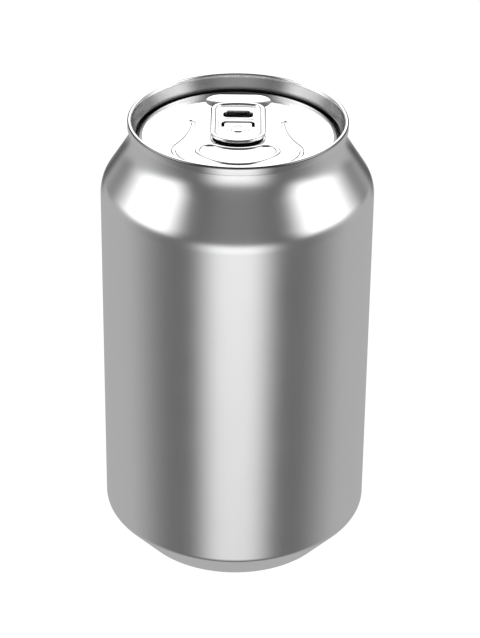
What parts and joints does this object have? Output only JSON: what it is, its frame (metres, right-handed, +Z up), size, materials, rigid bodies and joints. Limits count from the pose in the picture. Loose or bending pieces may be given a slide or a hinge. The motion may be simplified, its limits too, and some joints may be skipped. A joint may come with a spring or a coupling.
{
  "type": "drink can",
  "caption": "Plain 330 ml aluminium drink can with a necked-in shoulder, seamed end, ring-pull tab and domed base, shut.",
  "frame": {"origin": "on the can's axis at the height of the flat it stands on", "axes": "+Z up along the can's axis; the tear panel lies towards -Y, the tab's finger end towards +Y, X across the tab"},
  "size_m": [0.0662, 0.0662, 0.1152],
  "materials": {
    "can_body": "satin, very fine lines round the wall",
    "can_end": "bright rolled sheet",
    "tab": "bright rolled sheet"
  },
  "bodies": {
    "root": {"can_body": "can_body", "can_end": "can_end", "tab": "tab"}
  },
  "joints": []
}
